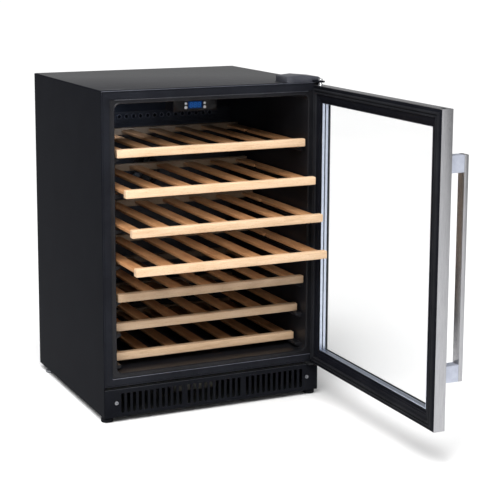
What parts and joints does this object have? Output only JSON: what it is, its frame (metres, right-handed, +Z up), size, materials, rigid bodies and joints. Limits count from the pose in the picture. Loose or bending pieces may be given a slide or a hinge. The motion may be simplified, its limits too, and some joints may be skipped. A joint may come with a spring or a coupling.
{
  "type": "wine cooler",
  "caption": "Undercounter wine cooler: black steel cabinet, right-hinged stainless-framed glass door with bar handle, and sliding beech shelves.",
  "frame": {"origin": "on the floor, at the centre of the rectangle of the four levelling feet", "axes": "+X to the cabinet's right as seen from the front, +Y to the back, +Z up; the front plane is at Y = -0.2475 and the door stands open towards -Y"},
  "size_m": [0.6464, 1.1446, 0.844],
  "materials": {
    "black_steel": "satin powder coat",
    "zinc_steel": "matt coated steel sheet",
    "black_panel": "satin paint",
    "black_liner": "satin moulded plastic",
    "foam": "rigid foam",
    "bright_steel": "bright zinc or nickel",
    "black_rubber": "matt",
    "coil_metal": "mill finish",
    "fan_plastic": "moulded",
    "light_cover": "diffuse lens",
    "display": "lit window",
    "white_plastic": "moulded",
    "compressor_steel": "gloss paint",
    "grey_plastic": "moulded",
    "stainless": "brushed",
    "door_black": "satin moulded plastic",
    "clear_glass": "clear low-emissivity double glazing",
    "spacer_metal": "bright drawn",
    "beech": "fine sanded, clear lacquer"
  },
  "bodies": {
    "cabinet": {"outer_shell": "black_steel", "back_panel": "zinc_steel", "front_frame": "black_panel", "inner_liner": "black_liner", "shelf_ribs": "black_liner", "insulation": "foam", "base_pan": "zinc_steel", "toe_grille": "black_panel", "grille_screws": "bright_steel", "front_feet": "black_rubber", "rear_feet": "bright_steel", "top_hinge": "black_steel", "top_hinge_screws": "bright_steel", "hinge_pins": "bright_steel", "hinge_cover": "black_liner", "bottom_hinge": "zinc_steel", "hinge_hole_cap": "black_steel", "evaporator_cover": "black_liner", "evaporator_grille": "black_liner", "evaporator_coil": "coil_metal", "evaporator_fan_frame": "fan_plastic", "led_light": "light_cover", "control_box": "black_liner", "display_window": "display", "compressor": "compressor_steel", "condenser": "coil_metal", "condenser_fan_frame": "fan_plastic", "electronics_box": "grey_plastic", "cord_gland": "black_rubber"},
    "door": {"door_trim": "stainless", "door_inner_frame": "door_black", "gasket": "black_rubber", "glass_inner": "clear_glass", "glass_outer": "clear_glass", "glass_spacer": "spacer_metal", "door_cap": "door_black", "hinge_bushes": "bright_steel", "handle_bar": "stainless", "handle_brackets": "stainless", "handle_screws": "bright_steel"},
    "shelf_1": {"shelf_1_rails": "beech", "shelf_1_slats": "beech"},
    "shelf_2": {"shelf_2_rails": "beech", "shelf_2_slats": "beech"},
    "shelf_3": {"shelf_3_rails": "beech", "shelf_3_slats": "beech"},
    "shelf_4": {"shelf_4_rails": "beech", "shelf_4_slats": "beech"},
    "shelf_5": {"shelf_5_rails": "beech", "shelf_5_slats": "beech"},
    "shelf_6": {"shelf_6_rails": "beech", "shelf_6_slats": "beech"},
    "shelf_7": {"shelf_7_rails": "beech", "shelf_7_slats": "beech"},
    "button_power": {"button_power": "white_plastic"},
    "button_light": {"button_light": "white_plastic"},
    "button_up": {"button_up": "white_plastic"},
    "button_down": {"button_down": "white_plastic"},
    "evaporator_fan": {"evaporator_fan_rotor": "fan_plastic"},
    "condenser_fan": {"condenser_fan_rotor": "fan_plastic"}
  },
  "joints": [
    {"name": "door_hinge", "type": "hinge", "parent": "cabinet", "child": "door", "pos_m": [0.285, -0.2675, 0.456], "axis": [0, 0, 1], "range_deg": [-89.3, 20]},
    {"name": "shelf_1_slide", "type": "slide", "parent": "cabinet", "child": "shelf_1", "axis": [0, -1, 0], "range_m": [-0.054, 0.196]},
    {"name": "shelf_2_slide", "type": "slide", "parent": "cabinet", "child": "shelf_2", "axis": [0, -1, 0], "range_m": [-0.112, 0.138]},
    {"name": "shelf_3_slide", "type": "slide", "parent": "cabinet", "child": "shelf_3", "axis": [0, -1, 0], "range_m": [-0.152, 0.098]},
    {"name": "shelf_4_slide", "type": "slide", "parent": "cabinet", "child": "shelf_4", "axis": [0, -1, 0], "range_m": [-0.176, 0.074]},
    {"name": "shelf_5_slide", "type": "slide", "parent": "cabinet", "child": "shelf_5", "axis": [0, -1, 0], "range_m": [-0.052, 0.198]},
    {"name": "shelf_6_slide", "type": "slide", "parent": "cabinet", "child": "shelf_6", "axis": [0, -1, 0], "range_m": [-0.018, 0.232]},
    {"name": "shelf_7_slide", "type": "slide", "parent": "cabinet", "child": "shelf_7", "axis": [0, -1, 0], "range_m": [0, 0.25]},
    {"name": "button_power_press", "type": "slide", "parent": "cabinet", "child": "button_power", "axis": [0, 1, 0], "range_m": [0, 0.0012], "stiffness_N_per_m": 400},
    {"name": "button_light_press", "type": "slide", "parent": "cabinet", "child": "button_light", "axis": [0, 1, 0], "range_m": [0, 0.0012], "stiffness_N_per_m": 400},
    {"name": "button_up_press", "type": "slide", "parent": "cabinet", "child": "button_up", "axis": [0, 1, 0], "range_m": [0, 0.0012], "stiffness_N_per_m": 400},
    {"name": "button_down_press", "type": "slide", "parent": "cabinet", "child": "button_down", "axis": [0, 1, 0], "range_m": [0, 0.0012], "stiffness_N_per_m": 400},
    {"name": "evaporator_fan_spin", "type": "hinge", "parent": "cabinet", "child": "evaporator_fan", "pos_m": [0, 0.2375, 0.547], "axis": [0, 1, 0], "continuous": true},
    {"name": "condenser_fan_spin", "type": "hinge", "parent": "cabinet", "child": "condenser_fan", "pos_m": [-0.15, 0.1215, 0.054], "axis": [0, 1, 0], "continuous": true}
  ],
  "couplings": [
    {"joint": "shelf_2_slide", "follows": "door_hinge", "m_per_rad": 0.071853},
    {"joint": "shelf_3_slide", "follows": "door_hinge", "m_per_rad": 0.097515},
    {"joint": "shelf_4_slide", "follows": "door_hinge", "m_per_rad": 0.11291}
  ]
}
